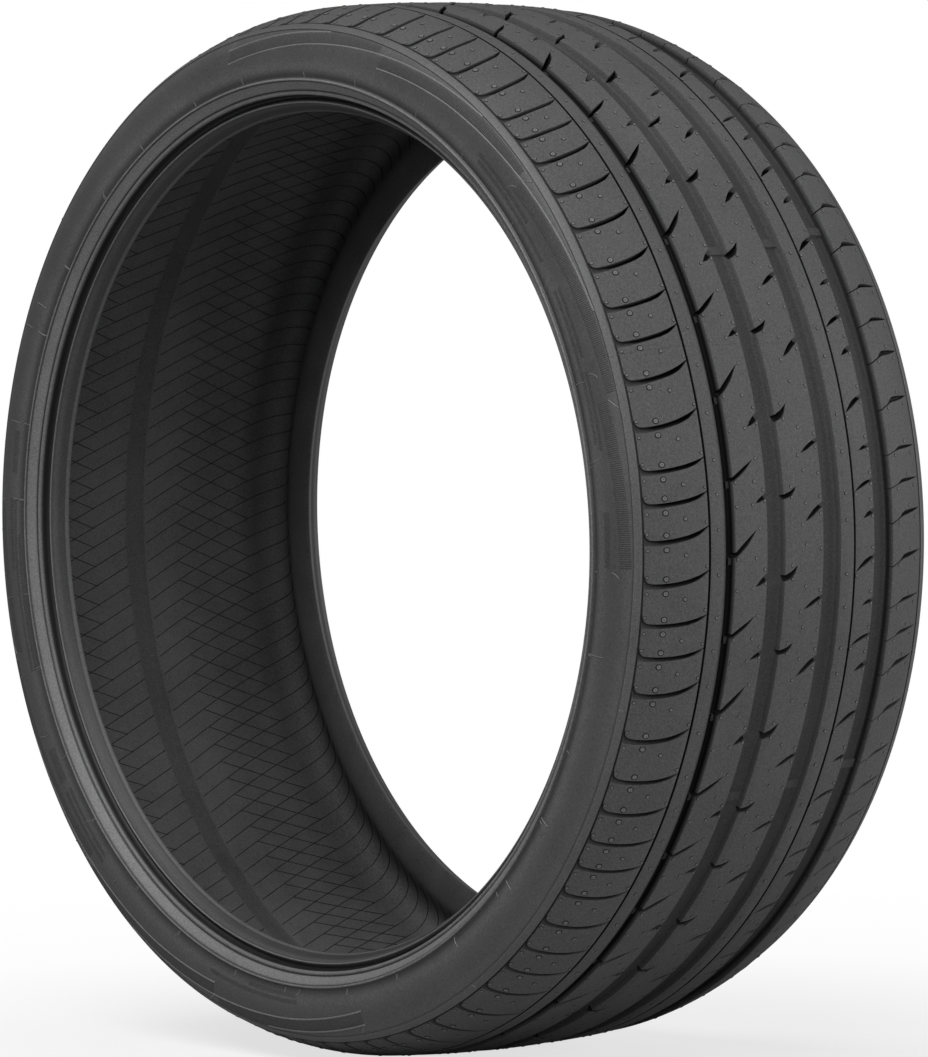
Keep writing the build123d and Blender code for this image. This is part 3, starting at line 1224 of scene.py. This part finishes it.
# Longer hairs on the sidewall: angle, radii of their ends, and degrees by which the outer end bends
LONG_HAIRS = [
    (-12.8, 334.0, 350.0, 0.2), (-2.8, 351.0, 357.6, -0.7), (10.0, 333.0, 347.6, 0.4),
    (20.0, 349.6, 356.4, -0.8), (19.6, 333.0, 345.0, -0.3), (32.4, 333.0, 346.6, 0.6),
    (45.6, 349.6, 354.8, -0.9), (72.4, 361.0, 366.0, -0.6), (132.4, 333.0, 338.0, -0.7),
    (144.4, 333.0, 338.0, 0.0), (151.3, 341.0, 354.0, 0.3), (154.7, 334.0, 343.0, 0.0),
    (154.9, 351.0, 366.0, 0.6), (167.2, 343.0, 355.0, 0.1), (177.0, 333.0, 345.0, 0.0),
    (177.2, 356.0, 366.0, 0.3), (189.4, 352.0, 366.0, 0.0), (199.3, 351.0, 366.0, 0.0),
    (199.3, 333.0, 342.6, 0.0), (208.1, 342.0, 354.0, -0.5), (221.9, 333.0, 341.0, -0.5),
    (230.6, 341.0, 353.0, -0.5), (234.3, 333.0, 339.0, -0.3), (244.4, 333.0, 339.4, -0.4),
    (270.0, 333.0, 338.6, -0.8), (302.0, 334.0, 341.0, 0.2), (314.6, 334.0, 342.6, 0.0),
    (325.0, 333.0, 343.0, 0.0),
]
# Radii of the ends of a parting line on the sidewall, and half the width and the height of a hair
PARTING_RADII = (367.9, 370.8)
HAIR_HALF_WIDTH = 0.32
HAIR_HEIGHT = 0.4


class TYRE_OT_vent_hairs(Operator):
    """Builds the thin hairs of rubber that the mould's vents leave on both sidewalls."""

    bl_idname = "tyre.vent_hairs"
    bl_label = "Vent hairs"

    def execute(self, context):
        part = 360 / EDGE_HAIR_PARTS
        turns = range(EDGE_HAIR_PARTS)
        edge = [(offset + part * turn, low, high, 0.0) for turn in turns for offset, low, high in EDGE_HAIRS]
        joints = [(angle, *PARTING_RADII, 0.0) for angle in PARTING_ANGLES]
        share = np.linspace(0, 1, 7)
        for name, side in SIDES:
            hairs = []
            for angle, low, high, bend in edge + LONG_HAIRS + joints:
                path = np.radians(angle + bend * share**2)
                hairs.append(wall_ridge(low + (high - low) * share, path, HAIR_HALF_WIDTH, HAIR_HEIGHT, side))
            # The hairs are lightened as a painted highlight
            add_piece(f"{name}_vent_hairs", *join_meshes(hairs), "sidewall", 60, 1.8)
        return {"FINISHED"}


# Outline of the liner, from the toe of one bead to the middle of the tread
LINER = [
    (307.9, 117.6), (308.6, 117.2), (311.0, 116.5), (318.0, 115.9), (326.0, 116.4), (333.0, 118.0),
    (339.0, 121.5), (346.0, 127.0), (352.0, 130.8), (358.0, 132.5), (364.0, 131.4), (368.6, 127.6),
    (371.6, 121.5), (372.9, 114.0), (373.4, 105.0), (373.4, 60.0), (373.4, 15.5), (373.0, 13.5),
    (373.0, 4.5), (373.4, 2.5), (373.4, 0.0),
]
# Tone of the liner at places across it, with a darker band along its middle
LINER_TONES = [(-14.5, 1.0), (-13.0, 0.72), (3.0, 0.72), (4.5, 1.0)]
LINER_STEPS = 360
# Radius of the liner under the tread, the distance over it where the sidewalls start, and its half width
LINER_FLAT = 373.4
LINER_TURN = 112
LINER_HALF_WIDTH = 130
# Angle of one of the long lines at its inner end
LINER_START = 176.9
# Slanted lines: distances over the liner from the middle of the tread with the rise per millimetre there,
# the distance at which a line has its start angle, and its shift round the tyre from there
LINER_LINES = [
    ("long_near", [(-150.0, -0.36), (-105.0, -0.40), (-14.0, -0.46)], -14.0, 0.0),
    ("long_far", [(5.5, -0.5), (45.0, -0.47), (118.0, -0.36), (165.0, -0.33)], 5.5, -2.5),
    ("short_near", [(-118.0, 0.42), (-44.5, 0.38)], -44.5, -0.5),
    ("short_far", [(36.0, 0.42), (107.0, 0.40)], 36.0, -17.4),
]


def liner_outline():
    """Outline of one half of the liner, from the toe of its bead to the middle of the tread."""
    return split_long(soften(LINER), 4.0)


def liner_at(reach):
    """Radius and place across of the liner at distances along it from the middle of the tread."""
    outline = liner_outline()[::-1]
    length = np.concatenate([[0], np.cumsum(np.linalg.norm(np.diff(outline, axis=0), axis=1))])
    radius = np.interp(np.abs(reach), length, outline[:, 0])
    return radius, np.sign(reach) * np.interp(np.abs(reach), length, outline[:, 1])


class TYRE_OT_liner(Operator):
    """Builds the smooth inside of the tyre."""

    bl_idname = "tyre.liner"
    bl_label = "Liner"

    def execute(self, context):
        half = liner_outline()
        outline = np.concatenate([half, half[::-1][1:] * (1, -1)])
        points, faces = revolved(outline, LINER_STEPS)
        tones = np.tile(table_at(outline[:, 1], LINER_TONES), LINER_STEPS)
        add_piece("liner", points, faces, "liner", 40, tones)
        return {"FINISHED"}


def liner_line(path, angle, width, height):
    """A raised line along a path of distance over the liner and distance round it."""
    direction = np.gradient(path, axis=0)
    direction /= np.linalg.norm(direction, axis=1)[:, None]
    side = np.stack([-direction[:, 1], direction[:, 0]], axis=-1) * width / 2
    rows = []
    for shift, lift in ((-1, -0.1), (0, height), (1, -0.1)):
        flat = path + side * shift
        radius, across = liner_at(flat[:, 0])
        on_side = np.abs(flat[:, 0]) >= LINER_TURN
        radius = radius - lift * ~on_side
        across = across * (1 - lift / LINER_HALF_WIDTH * on_side)
        turn = angle + flat[:, 1] / LINER_FLAT
        rows.append(np.stack([radius * np.cos(turn), across, radius * np.sin(turn)], axis=-1))
    return np.concatenate(rows), grid_faces(3, len(path))


class TYRE_OT_liner_lines(Operator):
    """Builds the slanted lines that are moulded in the liner."""

    bl_idname = "tyre.liner_lines"
    bl_label = "Liner lines"

    def execute(self, context):
        settings = context.scene.tyre_liner
        width, height = settings.line_width / MM, settings.line_height / MM
        for name, slopes, anchor, shift in LINER_LINES:
            first, last = slopes[0][0], slopes[-1][0]
            reach = np.linspace(first, last, ceil((last - first) / 5.0) + 1)
            slope = table_at(reach, slopes)
            along = np.concatenate([[0], np.cumsum(np.diff(reach) * 0.5 * (slope[1:] + slope[:-1]))])
            path = np.stack([reach, along - np.interp(anchor, reach, along) + shift], axis=-1)
            lines = [
                liner_line(path, radians(LINER_START) + number * 2 * pi / settings.line_count, width, height)
                for number in range(settings.line_count)
            ]
            add_piece(f"liner_{name}", *join_meshes(lines), "line", 60)
        return {"FINISHED"}


# The camera: its place in metres, its right and down directions, and its focal length in pixels of the photo
CAMERA_PLACE = (3.859032, -3.218291, 0.216794)
CAMERA_RIGHT = (0.64299219, 0.76580591, -0.01011665)
CAMERA_DOWN = (0.02667965, -0.03559837, -0.99900999)
CAMERA_FOCUS = 6775.09
PHOTO_HEIGHT = 1057
# Width of the camera's sensor in millimetres, and half the side of the floor in metres
SENSOR = 36.0
FLOOR_HALF = 30.0
# Lamps: place and size in metres
LAMPS = {
    "top": ((0.2, -2.4, 3.5), 3.2),
    "right": ((4.2, 0.6, 0.6), 2.0),
    "front": ((2.5, -2.5, 2.5), 2.0),
    "rim": ((2.2, 3.6, 0.9), 2.0),
}


def add_lamp(name, place, size, power):
    """A soft square lamp that faces the middle of the tyre."""
    lamp = bpy.data.lights.new(name, "AREA")
    lamp.size = size
    lamp.energy = power
    holder = bpy.data.objects.new(name, lamp)
    holder.location = place
    holder.rotation_euler = (-Vector(place)).to_track_quat("-Z", "Y").to_euler()
    bpy.context.scene.collection.objects.link(holder)


def add_camera():
    """The camera at the photograph's viewing angle."""
    camera = bpy.data.cameras.new("camera")
    camera.sensor_width = SENSOR
    camera.lens = SENSOR * CAMERA_FOCUS / PHOTO_HEIGHT
    camera.clip_end = 100.0
    holder = bpy.data.objects.new("camera", camera)
    right, up = Vector(CAMERA_RIGHT), -Vector(CAMERA_DOWN)
    back = right.cross(up)
    turn = Matrix((right, up, back)).transposed().to_4x4()
    holder.matrix_world = Matrix.Translation(CAMERA_PLACE) @ turn
    bpy.context.scene.collection.objects.link(holder)
    bpy.context.scene.camera = holder


def add_world(strength):
    """White to the camera, and an even soft light to everything else."""
    world = bpy.data.worlds.new("studio")
    bpy.context.scene.world = world
    world.use_nodes = True
    shader = Shader(world.node_tree)
    room = world.node_tree.nodes["Background"]
    shader.feed(room, {"Color": (1, 1, 1, 1), "Strength": strength})
    white = shader.node("ShaderNodeBackground", {}, {"Color": (1, 1, 1, 1), "Strength": 1.0})
    direct = shader.node("ShaderNodeLightPath").outputs["Is Camera Ray"]
    blend = shader.node("ShaderNodeMixShader", {}, {0: direct, 1: room.outputs[0], 2: white.outputs[0]})
    shader.feed(world.node_tree.nodes["World Output"], {"Surface": blend.outputs[0]})


def floor_material(settings):
    """Pale to the camera, whiter with distance, and with a weaker bounce on the tyre."""
    material, shader, principled = new_material("floor")
    direct = Value(shader, shader.node("ShaderNodeLightPath").outputs["Is Camera Ray"])
    colour = shader.mix_colour(direct, settings.floor_bounce, settings.floor_colour)
    shader.feed(principled, {"Base Color": colour, "Roughness": 0.9})
    white = shader.node("ShaderNodeEmission", {}, {"Color": (1, 1, 1, 1), "Strength": 1.0})
    place = shader.node("ShaderNodeTexCoord").outputs["Object"]
    reach = shader.value("ShaderNodeVectorMath", {"operation": "LENGTH"}, {0: place}, "Value")
    fade = shader.ramp(reach / settings.shadow_reach, [(0.2, 0.72), (0.55, 0.95), (1.0, 1.0)])
    inputs = {0: direct * fade, 1: principled.outputs[0], 2: white.outputs[0]}
    blend = shader.node("ShaderNodeMixShader", {}, inputs)
    shader.feed(material.node_tree.nodes["Material Output"], {"Surface": blend.outputs[0]})
    return material


class TYRE_OT_stage(Operator):
    """Sets up the floor, the backdrop, the lamps and the camera."""

    bl_idname = "tyre.stage"
    bl_label = "Stage"

    def execute(self, context):
        scene = context.scene
        settings = scene.tyre_stage
        scene.view_settings.view_transform = "Standard"
        add_world(settings.ambient)
        corners = [(x * FLOOR_HALF, y * FLOOR_HALF, 0) for x, y in ((-1, -1), (1, -1), (1, 1), (-1, 1))]
        mesh = bpy.data.meshes.new("floor")
        mesh.from_pydata(corners, [], [(0, 1, 2, 3)])
        mesh.materials.append(floor_material(settings))
        floor = bpy.data.objects.new("floor", mesh)
        floor.location.z = CAD_BOX[0].z
        scene.collection.objects.link(floor)
        for name, (place, size) in LAMPS.items():
            add_lamp(f"{name}_lamp", place, size, getattr(settings, f"{name}_power"))
        add_camera()
        return {"FINISHED"}


GROUPS = {
    "tyre_tread": TyreTreadSettings,
    "tyre_sidewall": TyreSidewallSettings,
    "tyre_liner": TyreLinerSettings,
    "tyre_finish": TyreFinishSettings,
    "tyre_stage": TyreStageSettings,
}
OPERATORS = [
    TYRE_OT_finishes, TYRE_OT_tread, TYRE_OT_vent_marks, TYRE_OT_tread_bars, TYRE_OT_parting_lines,
    TYRE_OT_sidewalls, TYRE_OT_sweep_panels, TYRE_OT_fine_bands, TYRE_OT_vent_hairs, TYRE_OT_liner,
    TYRE_OT_liner_lines, TYRE_OT_stage,
]


class TYRE_PT_sidebar(Panel):
    """Lists the pieces of the tyre and their settings."""

    bl_idname = "TYRE_PT_sidebar"
    bl_label = "Car tyre"
    bl_space_type = "VIEW_3D"
    bl_region_type = "UI"
    bl_category = "Tyre"

    def draw(self, context):
        for label, group in GROUPS.items():
            box = self.layout.box()
            for setting in group.__annotations__:
                box.prop(getattr(context.scene, label), setting)
        for operator in OPERATORS:
            self.layout.operator(operator.bl_idname)


def register():
    for cls in (*GROUPS.values(), *OPERATORS, TYRE_PT_sidebar):
        bpy.utils.register_class(cls)
    for label, group in GROUPS.items():
        setattr(bpy.types.Scene, label, PointerProperty(type=group))


def unregister():
    for label in GROUPS:
        delattr(bpy.types.Scene, label)
    for cls in reversed((*GROUPS.values(), *OPERATORS, TYRE_PT_sidebar)):
        bpy.utils.unregister_class(cls)


def main():
    """Builds every piece in order."""
    register()
    bpy.ops.tyre.finishes()
    bpy.ops.tyre.tread()
    bpy.ops.tyre.vent_marks()
    bpy.ops.tyre.tread_bars()
    bpy.ops.tyre.parting_lines()
    bpy.ops.tyre.sidewalls()
    bpy.ops.tyre.sweep_panels()
    bpy.ops.tyre.fine_bands()
    bpy.ops.tyre.vent_hairs()
    bpy.ops.tyre.liner()
    bpy.ops.tyre.liner_lines()
    bpy.ops.tyre.stage()


if __name__ == "__main__":
    main()
